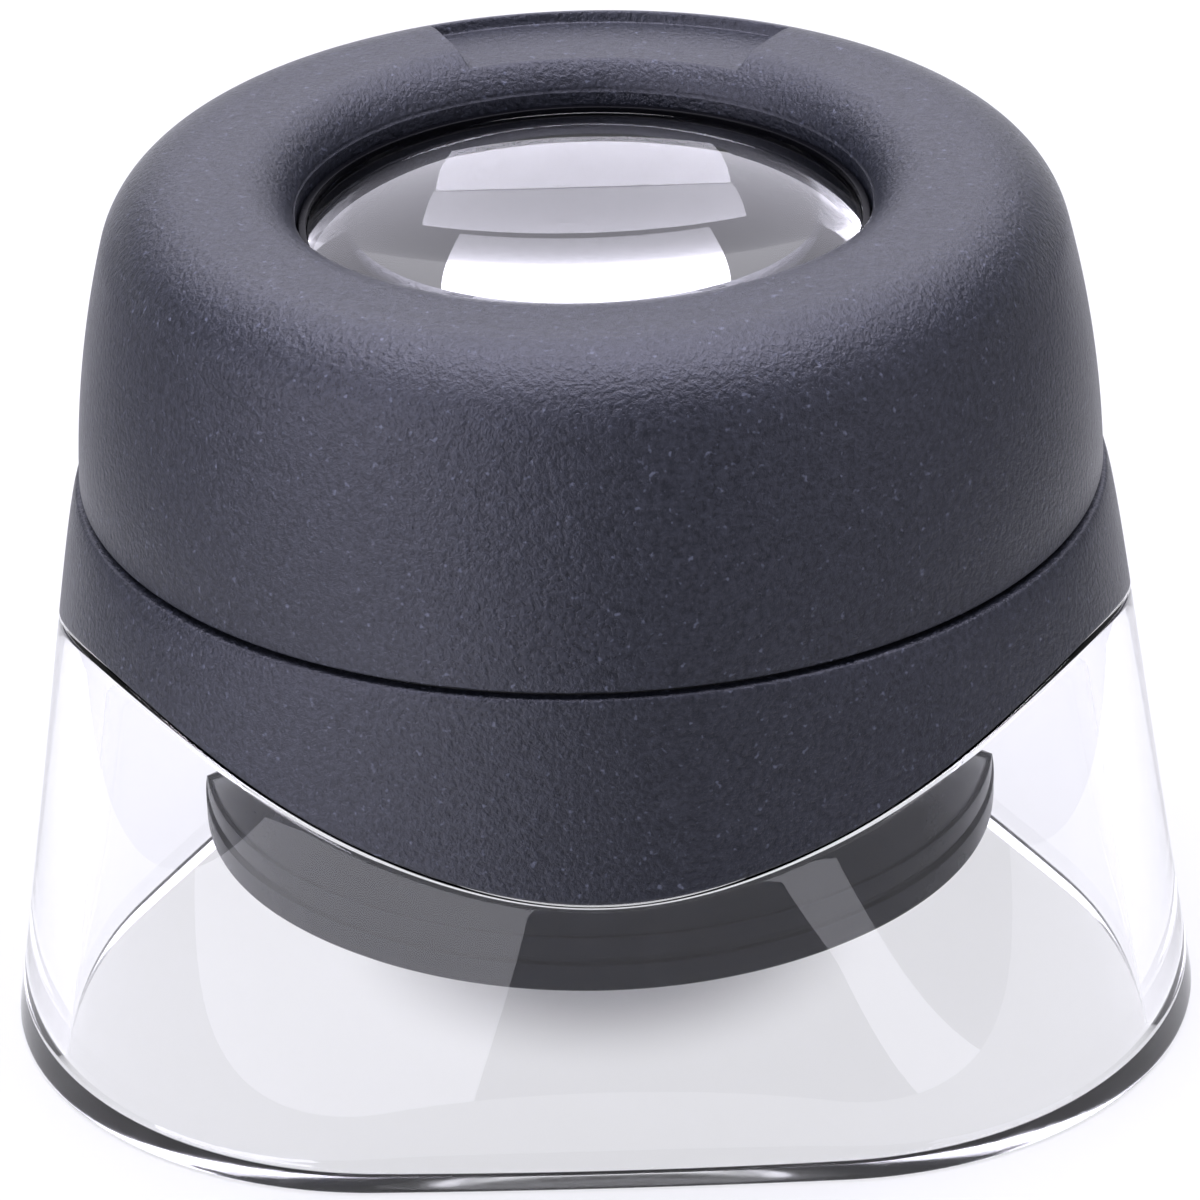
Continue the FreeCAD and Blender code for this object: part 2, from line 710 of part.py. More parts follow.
def make_lens_barrel():
    """Lens barrel: an inner tube for the lenses and a wider light skirt with beaded foot."""
    body = turned_body("lens_barrel", [
        (dim("barrel_skirt_bore"), dim("barrel_low"), None),
        (dim("barrel_flange_radius") - dim("barrel_chamfer"), dim("barrel_low"), None),
        (dim("barrel_flange_radius"), dim("barrel_low") + dim("barrel_chamfer"), None),
        (dim("barrel_flange_radius"), dim("barrel_flange_high"), None),
        (dim("barrel_groove_radius"), dim("barrel_flange_high"), None),
        (dim("barrel_groove_radius"), dim("barrel_groove_high"), None),
        (dim("barrel_bead_radius"), dim("barrel_groove_high"), None),
        (dim("barrel_bead_radius"), dim("barrel_bead_high"), None),
        (dim("barrel_skirt_radius"), dim("barrel_bead_high"), None),
        (dim("barrel_skirt_radius"), dim("barrel_step_high"), None),
        (dim("barrel_tube_radius"), dim("barrel_step_high"), None),
        (dim("barrel_tube_radius"), dim("barrel_high"), None),
        (dim("barrel_counterbore"), dim("barrel_high"), None),
        (dim("barrel_counterbore"), dim("barrel_counterbore_low"), None),
        (dim("barrel_tube_bore"), dim("barrel_counterbore_low"), None),
        (dim("barrel_tube_bore"), dim("barrel_seat_height"), None),
        (dim("barrel_seat_radius"), dim("barrel_seat_height"), None),
        (dim("barrel_seat_radius"), dim("barrel_tube_low"), None),
        (dim("barrel_tube_foot_radius"), dim("barrel_tube_low"), None),
        (dim("barrel_tube_foot_radius"), dim("barrel_step_low"), None),
        (dim("barrel_skirt_bore"), dim("barrel_step_low"), None),
    ])
    body.Label = "lens_barrel_blank"
    holes = [radial_rod(f"pin_hole_{place}", dim("pin_radius"), dim("pin_inner_end"),
                        dim("pin_outer_end"), dim("pin_height"),
                        PIN_START_ANGLE + SECTOR * place)
             for place in range(PLACES)]
    tool = add_feature("Part::Compound", "pin_holes", Links=holes)
    return add_feature("Part::Cut", "lens_barrel", Base=body, Tool=tool)


def make_follower_pins():
    """Three identical pins, pressed in the barrel, that ride in both sleeves' slots."""
    pins = [radial_rod(f"follower_pin_{place}", dim("pin_radius"), dim("pin_inner_end"),
                       dim("pin_outer_end"), dim("pin_height"),
                       PIN_START_ANGLE + SECTOR * place)
            for place in range(PLACES)]
    return add_feature("Part::Compound", "follower_pins", Links=pins)


def dome_rise(curve, aperture):
    """Height of a spherical cap of a curve radius over an aperture radius."""
    height = curve.value - math.sqrt(curve.value ** 2 - aperture.value ** 2)
    text = f"({curve.text} - sqrt({curve.text} ^ 2 - {aperture.text} ^ 2))"
    return Size(height, text)


def make_lower_lens():
    """Lower lens: equally curved on both faces, with a flat rim that sits in the barrel."""
    clear = dim("lens_clear_radius")
    curve = dim("lower_lens_curve")
    rise = dome_rise(curve, clear)
    low = dim("barrel_seat_height")
    high = dim("lower_lens_rim_high")
    return turned_body("lower_lens", [
        (ZERO, low - rise, curve * -1),
        (clear, low, None),
        (dim("lens_rim_radius"), low, None),
        (dim("lens_rim_radius"), high, None),
        (clear, high, curve * -1),
        (ZERO, high + rise, None),
    ])


def make_upper_lens():
    """Upper lens: thick, domed towards the eye and below, with a rim under the bezel."""
    clear = dim("lens_clear_radius")
    under = dim("upper_lens_under_curve")
    top = dim("upper_lens_top_curve")
    low = dim("upper_lens_low")
    return turned_body("upper_lens", [
        (ZERO, low - dome_rise(under, clear), under * -1),
        (clear, low, None),
        (dim("lens_rim_radius"), low, None),
        (dim("lens_rim_radius"), dim("upper_lens_rim_high"), None),
        (clear, dim("upper_lens_rim_high"), None),
        (clear, dim("upper_lens_edge"), top * -1),
        (ZERO, dim("upper_lens_edge") + dome_rise(top, clear), None),
    ])


def make_spacer_tube():
    """Tube that holds the two lenses apart."""
    return turned_body("spacer_tube", [
        (dim("spacer_bore"), dim("lower_lens_rim_high"), None),
        (dim("spacer_radius"), dim("lower_lens_rim_high"), None),
        (dim("spacer_radius"), dim("upper_lens_low"), None),
        (dim("spacer_bore"), dim("upper_lens_low"), None),
    ])


def make_lens_cushion():
    """Soft washer between the upper lens's rim and the bezel."""
    return turned_body("lens_cushion", [
        (dim("cushion_bore"), dim("upper_lens_rim_high"), None),
        (dim("cushion_radius"), dim("upper_lens_rim_high"), None),
        (dim("cushion_radius"), dim("barrel_high"), None),
        (dim("cushion_bore"), dim("barrel_high"), None),
    ])


def make_eyepiece_bezel():
    """Glossy ring round the upper lens, with a spigot that screws into the barrel."""
    return turned_body("eyepiece_bezel", [
        (dim("bezel_bore"), dim("barrel_high"), None),
        (dim("bezel_spigot_bore"), dim("barrel_high"), None),
        (dim("bezel_spigot_bore"), dim("bezel_spigot_low"), None),
        (dim("bezel_spigot_radius"), dim("bezel_spigot_low"), None),
        (dim("bezel_spigot_radius"), dim("barrel_high"), None),
        (dim("bezel_flange_radius"), dim("barrel_high"), None),
        (dim("bezel_flange_radius"), dim("bezel_flange_high"), None),
        (dim("bezel_nose_radius"), dim("bezel_flange_high"), None),
        (dim("bezel_nose_radius"), dim("bezel_nose_high"), None),
        (dim("bezel_bore"), dim("bezel_nose_high"), None),
    ])


# ---------------------------------------------------------------- build, check, write

SUBPARTS = [
    make_clear_stand(),
    make_collar(),
    make_guide_sleeve(),
    make_guide_screws(),
    make_cap_clip(),
    make_drag_ring(),
    make_focus_cap(),
    make_cam_sleeve(),
    make_lens_barrel(),
    make_follower_pins(),
    make_lower_lens(),
    make_spacer_tube(),
    make_upper_lens(),
    make_lens_cushion(),
    make_eyepiece_bezel(),
]

DOC.recompute()

for item in DOC.Objects:
    if "Invalid" in item.State or "Error" in item.State:
        raise RuntimeError(f"{item.Label} failed: {item.State}")

for subpart in SUBPARTS:
    if subpart.Shape.isNull() or not subpart.Shape.isValid():
        raise RuntimeError(f"{subpart.Label} has no valid shape")

os.makedirs("parts", exist_ok=True)
for subpart in SUBPARTS:
    subpart.Shape.exportStep(f"parts/{subpart.Label}.step")
    box = subpart.Shape.BoundBox
    print(f"{subpart.Label}: {len(subpart.Shape.Solids)} solid(s), "
          f"{subpart.Shape.Volume:.1f} mm3, z {box.ZMin:.2f} to {box.ZMax:.2f}")
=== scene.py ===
import math

import bpy
from mathutils import Matrix, Vector


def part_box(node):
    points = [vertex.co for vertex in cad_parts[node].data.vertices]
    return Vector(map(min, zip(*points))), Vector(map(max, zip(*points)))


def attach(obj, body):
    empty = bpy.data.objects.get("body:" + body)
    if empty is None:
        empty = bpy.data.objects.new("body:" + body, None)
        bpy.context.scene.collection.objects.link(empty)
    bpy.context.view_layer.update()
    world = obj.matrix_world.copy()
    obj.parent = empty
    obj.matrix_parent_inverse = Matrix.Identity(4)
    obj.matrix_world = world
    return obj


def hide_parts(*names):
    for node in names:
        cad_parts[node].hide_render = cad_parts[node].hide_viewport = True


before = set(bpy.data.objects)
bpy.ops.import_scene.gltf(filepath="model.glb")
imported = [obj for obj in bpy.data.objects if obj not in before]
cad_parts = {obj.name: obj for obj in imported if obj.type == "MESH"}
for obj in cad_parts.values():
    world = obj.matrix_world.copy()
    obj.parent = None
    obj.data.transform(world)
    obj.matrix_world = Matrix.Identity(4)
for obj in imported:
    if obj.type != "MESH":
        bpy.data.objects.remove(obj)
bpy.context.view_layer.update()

# The loupe in metres, +Z up along the optical axis, one flat side of the stand facing -Y.
MM = 0.001
PLACES = 3
SECTOR = math.tau / PLACES


# ---------------------------------------------------------------- sizes

def heights(node):
    """Lowest and highest height of a CAD node."""
    lowest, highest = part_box(node)
    return lowest[2], highest[2]


CAP_FOOT, CREST_HEIGHT = heights("focus_cap")
STAND_TOP = heights("clear_stand")[1]
NECK_TOP = heights("collar")[1]
GROOVE_FLOOR = heights("drag_ring")[0]
BARREL_FOOT, BARREL_TOP = heights("lens_barrel")
BARREL_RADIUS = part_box("lens_barrel")[1][0]
BEZEL_LOW, BEZEL_TOP = heights("eyepiece_bezel")
LENS_RIM_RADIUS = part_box("lower_lens")[1][0]
SPACER_LOW, SPACER_TOP = heights("spacer_tube")

SEAM_RADIUS = 27.0 * MM
SEAM_GAP = 0.3 * MM
SEAM_HEIGHT = CAP_FOOT - SEAM_GAP / 2
SEAM_FACE = SEAM_HEIGHT - SEAM_GAP / 2

# Outer form of collar and stand: a rounded triangle round the seam circle.
CORNER_REACH = 13.2 * MM
CORNER_GROWTH = 0.64
SIDE_ARC_FOOT = math.radians(1.5)
SIDE_ARC_SEAM = math.radians(20.0)
SKIRT_LOW = 16.8 * MM
SKIRT_HIGH = 23.9 * MM
SKIRT_GAP = 0.12 * MM
COLLAR_WALL = 1.6 * MM
COLLAR_PLATE = 26.4 * MM
COLLAR_HOLE = 19.45 * MM
NECK_BORE = 22.7 * MM
NECK_RADIUS = 24.5 * MM
RING_GROOVE = (25.25 * MM, 26.35 * MM)
STAND_WALL = 3.0 * MM
STAND_TONGUE = 1.7 * MM

# Grip cap.
CREST_RADIUS = 20.2 * MM
SHOULDER_ARC = 5.0 * MM
SHOULDER_TURN = 15.0            # degrees from level where the side's arc takes over
SIDE_ARC = 57.1 * MM
CREST_INNER_RADIUS = 18.1 * MM
INNER_ARC = 3.45 * MM
EYE_RADIUS = 14.9 * MM
EYE_RIM = 42.94 * MM
CAP_ROOF = 41.2 * MM
CAP_BORE = 24.9 * MM
CAP_HUB = 22.9 * MM
CAP_HUB_HEIGHT = 38.0 * MM
CAP_CONE_HEIGHT = 33.0 * MM
CLIP_GROOVE = (25.4 * MM, 30.0 * MM, 31.2 * MM)
PLAQUE_FLOOR = 44.37 * MM
PLAQUE_RADIUS = 21.4 * MM
PLAQUE_HALF = math.radians(27.3)
PLAQUE_MIDDLE = math.radians(85.0)
PLAQUE_SLOPE = 0.3 * MM

# Lenses.
LENS_CLEAR = 14.3 * MM
LOWER_CURVE = 40.7 * MM
UPPER_TOP_CURVE = 44.0 * MM
UPPER_UNDER_CURVE = 40.0 * MM
UPPER_RIM_HIGH = 37.8 * MM
UPPER_EDGE = 41.9 * MM
LOWER_RIM_LOW = 15.2 * MM


# ---------------------------------------------------------------- mesh helpers

def fillet(corners, steps=5):
    """Closed outline with its corners rounded; each corner is (across, up, radius)."""
    points = []
    count = len(corners)
    for index, (x, z, radius) in enumerate(corners):
        here = Vector((x, z))
        if radius <= 0:
            points.append(here)
            continue
        back = Vector(corners[index - 1][:2]) - here
        ahead = Vector(corners[(index + 1) % count][:2]) - here
        opening = back.angle(ahead)
        cut = min(radius / math.tan(opening / 2), 0.45 * back.length, 0.45 * ahead.length)
        start = here + back.normalized() * cut
        end = here + ahead.normalized() * cut
        for step in range(steps + 1):
            share = step / steps
            points.append((1 - share) ** 2 * start + 2 * share * (1 - share) * here
                          + share ** 2 * end)
    return points


def arc_points(centre, radius, start, end, steps):
    """Points along an arc in the outline's plane, angles in degrees from its first axis."""
    angles = [math.radians(start + (end - start) * step / steps) for step in range(steps + 1)]
    return [(centre[0] + radius * math.cos(a), centre[1] + radius * math.sin(a)) for a in angles]


def mesh_object(name, vertices, faces, body):
    """Smooth-shaded mesh that rides on a CAD body."""
    mesh = bpy.data.meshes.new(name)
    mesh.from_pydata(vertices, [], faces)
    mesh.validate()
    piece = bpy.data.objects.new(name, mesh)
    bpy.context.scene.collection.objects.link(piece)
    mesh.shade_smooth()
    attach(piece, body)
    return piece


def even_angles(segments=360):
    """Evenly spaced angles round the axis."""
    return [math.tau * step / segments for step in range(segments)]


def ring_mesh(name, section, body, angles):
    """
    Closed ring whose cross-section depends on the angle.

    section(angle) gives the closed outline at that angle, always with as many points.
    A point on the axis is shared by every angle.
    """
    outlines = [section(angle) for angle in angles]
    per_ring = len(outlines[0])
    on_axis = {i for i, point in enumerate(outlines[0]) if point[0] < 1e-9}
    vertices = []
    index_of = {}
    for i in sorted(on_axis):
        index_of[i] = len(vertices)
        vertices.append((0.0, 0.0, outlines[0][i][1]))
    for step, (angle, outline) in enumerate(zip(angles, outlines)):
        for i, (radius, height) in enumerate(outline):
            if i in on_axis:
                continue
            index_of[(step, i)] = len(vertices)
            vertices.append((radius * math.cos(angle), radius * math.sin(angle), height))
    faces = []
    for step in range(len(angles)):
        following = (step + 1) % len(angles)
        for i in range(per_ring):
            j = (i + 1) % per_ring
            corners = []
            for key in ((step, i), (following, i), (following, j), (step, j)):
                corner = index_of[key[1]] if key[1] in on_axis else index_of[key]
                if corner not in corners:
                    corners.append(corner)
            if len(corners) > 2:
                faces.append(corners)
    return mesh_object(name, vertices, faces, body)


def turned_mesh(name, corners, body, segments=360):
    """Ring or solid turned from a closed outline of (radius, height, rounding) corners."""
    outline = outline_of(corners)
    return ring_mesh(name, lambda angle: outline, body, even_angles(segments))


# ---------------------------------------------------------------- the rounded triangle

def form_radius(height, inset, angle):
    """Distance from the axis to the outer form at a height, moved inwards by an inset."""
    depth = max(0.0, (SEAM_HEIGHT - height) / SEAM_HEIGHT)
    shift = CORNER_REACH * depth ** CORNER_GROWTH
    half_side = SIDE_ARC_SEAM + (SIDE_ARC_FOOT - SIDE_ARC_SEAM) * depth
    sine = math.sin(math.pi / 3)
    corner = SEAM_RADIUS - shift * (sine * math.tan(half_side / 2) + 0.5)
    side = corner + shift * sine / math.sin(half_side)
    side_shift = shift * (sine / math.tan(half_side) - 0.5)
    corner -= inset
    side -= inset
    off_corner = (angle + math.pi / 6 + SECTOR / 2) % SECTOR - SECTOR / 2
    corner_half = math.pi / 3 - half_side
    join = math.atan2(corner * math.sin(corner_half), shift + corner * math.cos(corner_half))
    if abs(off_corner) <= join:
        return shift * math.cos(off_corner) + math.sqrt(
            corner ** 2 - (shift * math.sin(off_corner)) ** 2)
    off_side = SECTOR / 2 - abs(off_corner)
    return math.sqrt(side ** 2 - (side_shift * math.sin(off_side)) ** 2) \
        - side_shift * math.cos(off_side)


def skirt_edge(angle):
    """Height of the collar's lower edge: low at each side's middle, high at each corner."""
    swing = math.cos(PLACES * (angle + math.pi / 6))
    return SKIRT_LOW + (SKIRT_HIGH - SKIRT_LOW) * (1 + swing) / 2


def on_form(height, inset, angle, rounding=0.0):
    """Outline corner on the outer form, moved inwards by an inset."""
    return form_radius(height, inset, angle), height, rounding


def wall(angle, inset, start, end, steps):
    """Outline points up or down a wall of the outer form, both ends left out."""
    rise = (end - start) / steps
    return [on_form(start + rise * step, inset, angle) for step in range(1, steps)]


def outline_of(corners, steps=5):
    """Corners with their rounding worked out, as plain points."""
    return [tuple(point) for point in fillet(corners, steps)]


# ---------------------------------------------------------------- materials

def new_material(name, **settings):
    """A node material, its tree and its shader, with uniform values set on the shader."""
    material = bpy.data.materials.new(name)
    material.use_nodes = True
    shader = material.node_tree.nodes["Principled BSDF"]
    for socket, value in settings.items():
        shader.inputs[socket.replace("_", " ")].default_value = value
    return material, material.node_tree, shader


def noise(tree, size, detail=2.0, roughness=0.5):
    """Noise whose features are about a size across, in the object's own space."""
    place = tree.nodes.new("ShaderNodeTexCoord")
    texture = tree.nodes.new("ShaderNodeTexNoise")
    texture.inputs["Scale"].default_value = 1.0 / size
    texture.inputs["Detail"].default_value = detail
    texture.inputs["Roughness"].default_value = roughness
    tree.links.new(place.outputs["Object"], texture.inputs["Vector"])
    return texture.outputs["Fac"]


def ramp(tree, source, stops):
    """Colour ramp over a value, from (position, grey or colour) stops."""
    node = tree.nodes.new("ShaderNodeValToRGB")
    elements = node.color_ramp.elements
    while len(elements) < len(stops):
        elements.new(0.5)
    for element, (position, colour) in zip(elements, stops):
        element.position = position
        element.color = (colour,) * 3 + (1,) if isinstance(colour, float) else (*colour, 1)
    tree.links.new(source, node.inputs["Fac"])
    return node.outputs["Color"]


def mixed(tree, mode, factor, first, second):
    """Two colours mixed; the factor is a number or another output."""
    node = tree.nodes.new("ShaderNodeMix")
    node.data_type = "RGBA"
    node.blend_type = mode
    if isinstance(factor, float):
        node.inputs["Factor"].default_value = factor
    else:
        tree.links.new(factor, node.inputs["Factor"])
    tree.links.new(first, node.inputs["A"])
    if isinstance(second, tuple):
        node.inputs["B"].default_value = (*second, 1)
    else:
        tree.links.new(second, node.inputs["B"])
    return node.outputs["Result"]


def bump(tree, shader, height, distance):
    """Bump of a real height on a shader's normal."""
    node = tree.nodes.new("ShaderNodeBump")
    node.inputs["Distance"].default_value = distance
    tree.links.new(height, node.inputs["Height"])
    tree.links.new(node.outputs["Normal"], shader.inputs["Normal"])


def grained_plastic(name, dark, light, grain, depth, rough, **settings):
    """Moulded plastic with a spark-eroded grain, pale specks and uneven gloss."""
    material, tree, shader = new_material(name, **settings)
    fine = noise(tree, grain, 4.0, 0.65)
    broad = noise(tree, grain * 45, 3.0, 0.5)
    specks = ramp(tree, noise(tree, grain * 1.1, 1.0, 0.4), [(0.68, 0.0), (0.80, 0.5)])
    colour = ramp(tree, fine, [(0.35, dark), (0.7, light)])
    colour = mixed(tree, "MIX", specks, colour, tuple(5 * part for part in light))
    tree.links.new(colour, shader.inputs["Base Color"])
    gloss = ramp(tree, broad, [(0.3, rough - 0.05), (0.7, rough + 0.05)])
    tree.links.new(gloss, shader.inputs["Roughness"])
    bump(tree, shader, fine, depth)
    return material


def clear_moulding(name, haze_low, haze_high, **settings):
    """Clear material with hardly visible unevenness in its polish."""
    material, tree, shader = new_material(name, Transmission_Weight=1.0, **settings)
    haze = ramp(tree, noise(tree, 2.5 * MM, 4.0, 0.6), [(0.4, haze_low), (0.8, haze_high)])
    tree.links.new(haze, shader.inputs["Roughness"])
    return material


def smeared_gloss(name, smear, rough, depth, **settings):
    """Smooth plastic or metal with faint smears or turning marks."""
    material, tree, shader = new_material(name, **settings)
    marks = noise(tree, smear, 3.0, 0.6)
    gloss = ramp(tree, marks, [(0.3, rough), (0.8, rough + 0.1)])
    tree.links.new(gloss, shader.inputs["Roughness"])
    bump(tree, shader, marks, depth)
    return material


GRIP = grained_plastic(
    "grip_grain", (0.004, 0.005, 0.008), (0.022, 0.024, 0.033), 0.30 * MM, 0.11 * MM, 0.31,
    Specular_IOR_Level=0.4, Specular_Tint=(0.88, 0.88, 1.0, 1))
BARREL = grained_plastic(
    "barrel_satin", (0.005, 0.006, 0.009), (0.009, 0.010, 0.015), 0.15 * MM, 0.002 * MM, 0.25,
    Specular_IOR_Level=0.05)
SLEEVE = grained_plastic(
    "sleeve_plain", (0.10, 0.10, 0.11), (0.13, 0.13, 0.14), 0.25 * MM, 0.006 * MM, 0.45)
RUBBER = grained_plastic(
    "rubber_matt", (0.015, 0.015, 0.015), (0.025, 0.025, 0.025), 0.1 * MM, 0.008 * MM, 0.75)
GLOSS = smeared_gloss(
    "bezel_gloss", 1.2 * MM, 0.25, 0.001 * MM,
    Base_Color=(0.002, 0.002, 0.003, 1), Specular_IOR_Level=0.05)
STEEL = smeared_gloss(
    "steel_plain", 0.15 * MM, 0.3, 0.003 * MM, Base_Color=(0.55, 0.55, 0.57, 1), Metallic=1.0)
ACRYLIC = clear_moulding(
    "stand_acrylic", 0.0, 0.02, Base_Color=(0.985, 0.985, 0.995, 1), IOR=1.49,
    Specular_IOR_Level=0.0)
GROUND_FOOT = clear_moulding(
    "stand_foot_ground", 0.08, 0.2, Base_Color=(0.95, 0.95, 0.97, 1), IOR=1.49)
OPTIC = clear_moulding(
    "lens_optic", 0.0, 0.01, Base_Color=(0.985, 0.985, 0.995, 1), IOR=1.52)


# ---------------------------------------------------------------- the stand and the collar

def stand_section(angle):
    """Cross-section of the clear stand: thick wall, a step at the skirt, a thin tongue."""
    step = skirt_edge(angle) - SKIRT_GAP
    corners = [on_form(0.0, 0.0, angle, 0.45 * MM)]
    corners += wall(angle, 0.0, 0.0, step, 24)
    corners += [on_form(step, 0.0, angle, 0.4 * MM), on_form(step, STAND_TONGUE, angle, 0.12 * MM)]
    corners += wall(angle, STAND_TONGUE, step, STAND_TOP, 3)
    corners += [on_form(STAND_TOP, STAND_TONGUE, angle, 0.15 * MM)]
    corners += [on_form(STAND_TOP, STAND_WALL, angle, 0.15 * MM)]
    corners += wall(angle, STAND_WALL, STAND_TOP, 0.0, 26)
    corners += [on_form(0.0, STAND_WALL, angle, 0.35 * MM)]
    return outline_of(corners)


def make_stand():
    """Clear stand, with its flat ground foot as a second material."""
    stand = ring_mesh("stand_shell", stand_section, "stand", even_angles(540))
    stand.data.materials.append(ACRYLIC)
    stand.data.materials.append(GROUND_FOOT)
    for face in stand.data.polygons:
        face.material_index = 1 if face.center.z < 0.001 * MM else 0
    return stand


def collar_section(angle):
    """Cross-section of the collar: outer wall, rounded lower edge, plate, neck and groove."""
    edge = skirt_edge(angle)
    crisp = 0.1 * MM
    corners = [on_form(edge, 0.0, angle, 0.28 * MM)]
    corners += wall(angle, 0.0, edge, SEAM_FACE, 14)
    corners += [on_form(SEAM_FACE, 0.0, angle, 0.3 * MM)]
    corners += [(RING_GROOVE[1], SEAM_FACE, crisp / 2), (RING_GROOVE[1], GROOVE_FLOOR, crisp)]
    corners += [(RING_GROOVE[0], GROOVE_FLOOR, crisp), (RING_GROOVE[0], SEAM_FACE, crisp / 2)]
    corners += [(NECK_RADIUS, SEAM_FACE, crisp), (NECK_RADIUS, NECK_TOP, 2 * crisp)]
    corners += [(NECK_BORE, NECK_TOP, 2 * crisp), (NECK_BORE, SEAM_FACE, crisp)]
    corners += [(COLLAR_HOLE, SEAM_FACE, crisp), (COLLAR_HOLE, COLLAR_PLATE, crisp)]
    corners += [on_form(COLLAR_PLATE, COLLAR_WALL, angle, 3 * crisp)]
    corners += wall(angle, COLLAR_WALL, COLLAR_PLATE, edge, 6)
    corners += [on_form(edge, COLLAR_WALL, angle, 2 * crisp)]
    return outline_of(corners)


def make_collar():
    """Black collar, round at the seam and flaring to three corners."""
    collar = ring_mesh("collar_shell", collar_section, "stand", even_angles(540))
    collar.data.materials.append(GRIP)
    return collar


# ---------------------------------------------------------------- the cap

def cap_side():
    """Points up the cap's drafted side, from just above its foot to the shoulder."""
    turn = math.radians(SHOULDER_TURN)
    end = (CREST_RADIUS + SHOULDER_ARC * math.cos(turn),
           CREST_HEIGHT - SHOULDER_ARC * (1 - math.sin(turn)))
    centre = (end[0] - SIDE_ARC * math.cos(turn), end[1] - SIDE_ARC * math.sin(turn))
    foot = math.degrees(math.asin((CAP_FOOT + 0.45 * MM - centre[1]) / SIDE_ARC))
    return arc_points(centre, SIDE_ARC, foot, SHOULDER_TURN, 24)


def cap_crown():
    """Points over the shoulder and crest and down into the eye opening."""
    shoulder = (CREST_RADIUS, CREST_HEIGHT - SHOULDER_ARC)
    recess = math.degrees(math.acos((PLAQUE_RADIUS - CREST_RADIUS) / SHOULDER_ARC))
    points = arc_points(shoulder, SHOULDER_ARC, SHOULDER_TURN, recess, 36)[1:]
    points += arc_points(shoulder, SHOULDER_ARC, recess, 90.0, 20)[1:]
    inner = (CREST_INNER_RADIUS, CREST_HEIGHT - INNER_ARC)
    rim = math.degrees(math.acos((EYE_RADIUS + 0.05 * MM - inner[0]) / INNER_ARC))
    return points + arc_points(inner, INNER_ARC, 90.0, rim, 28)


def cap_outline():
    """Closed cross-section of the grip cap, without its recess."""
    side = cap_side()
    crown = cap_crown()
    crisp = 0.05 * MM
    groove, groove_low, groove_high = CLIP_GROOVE
    foot = outline_of([(CAP_BORE, CAP_FOOT, 0.0),
                       (side[0][0] + 0.01 * MM, CAP_FOOT, 0.35 * MM), (*side[0], 0.0)])[:-1]
    inside = outline_of([
        (EYE_RADIUS, EYE_RIM, crisp), (EYE_RADIUS, CAP_ROOF, 3 * crisp),
        (CAP_HUB, CAP_ROOF, 10 * crisp), (CAP_HUB, CAP_HUB_HEIGHT, 10 * crisp),
        (CAP_BORE, CAP_CONE_HEIGHT, 10 * crisp), (CAP_BORE, groove_high, crisp),
        (groove, groove_high, crisp), (groove, groove_low, crisp),
        (CAP_BORE, groove_low, crisp), (CAP_BORE, CAP_FOOT + 10 * crisp, 2 * crisp)])
    return foot + side + crown + inside


def smooth_step(share):
    """Smooth rise from 0 to 1."""
    share = min(1.0, max(0.0, share))
    return share * share * (3 - 2 * share)


def pressed_height(radius, height, angle):
    """Height on the crown once the plain recess is pressed into it, with sloping walls."""
    if height < PLAQUE_FLOOR or radius > PLAQUE_RADIUS:
        return height
    off = abs((angle - PLAQUE_MIDDLE + math.pi) % math.tau - math.pi)
    inside = min((PLAQUE_HALF - off) * radius, PLAQUE_RADIUS - radius)
    return height + (PLAQUE_FLOOR - height) * smooth_step(inside / PLAQUE_SLOPE)


def cap_angles():
    """Angles of the cap's grid, with extra ones across the recess's two end walls."""
    angles = even_angles(420)
    wall_turn = PLAQUE_SLOPE / CREST_RADIUS
    for side in (-1, 1):
        for share in (0.0, 0.2, 0.4, 0.6, 0.8, 1.0):
            angles.append(PLAQUE_MIDDLE + side * (PLAQUE_HALF - wall_turn * share))
    return sorted(angles)


def make_cap():
    """Grip cap, with the plain arc recess pressed into the back of its crown."""
    outline = cap_outline()
    cap = ring_mesh(
        "grip_cap",
        lambda angle: [(radius, pressed_height(radius, height, angle))
                       for radius, height in outline],
        "focus_ring", cap_angles())
    cap.data.materials.append(GRIP)
    return cap


# ---------------------------------------------------------------- lenses, barrel and bezel

def dome(start_radius, end_radius, edge, curve, steps=40):
    """Points over a lens face; a negative curve bulges down; the edge is its height."""
    size = abs(curve)
    depth = math.sqrt(size ** 2 - LENS_CLEAR ** 2)
    points = []
    for step in range(steps + 1):
        radius = start_radius + (end_radius - start_radius) * step / steps
        bulge = math.sqrt(size ** 2 - radius ** 2) - depth
        points.append((radius, edge + math.copysign(bulge, curve)))
    return points


def make_lens(name, outline):
    """A lens turned from the closed outline that starts and ends on the axis."""
    lens = ring_mesh(name, lambda angle: outline, "lens_cell", even_angles())
    lens.data.set_sharp_from_angle(angle=math.radians(25))
    lens.data.materials.append(OPTIC)
    return lens


def make_eye_lens():
    """Upper lens: thick, domed towards the eye and below, with a rim under the bezel."""
    outline = dome(0.0, LENS_CLEAR, SPACER_TOP, -UPPER_UNDER_CURVE)
    outline += [(LENS_RIM_RADIUS, SPACER_TOP), (LENS_RIM_RADIUS, UPPER_RIM_HIGH)]
    outline += [(LENS_CLEAR, UPPER_RIM_HIGH)]
    outline += dome(LENS_CLEAR, 0.0, UPPER_EDGE, UPPER_TOP_CURVE)
    return make_lens("eye_lens", outline)


def make_field_lens():
    """Lower lens: equally curved on both faces, with a flat rim."""
    outline = dome(0.0, LENS_CLEAR, LOWER_RIM_LOW, -LOWER_CURVE)
    outline += [(LENS_RIM_RADIUS, LOWER_RIM_LOW), (LENS_RIM_RADIUS, SPACER_LOW)]
    outline += dome(LENS_CLEAR, 0.0, SPACER_LOW, LOWER_CURVE)
    return make_lens("field_lens", outline)


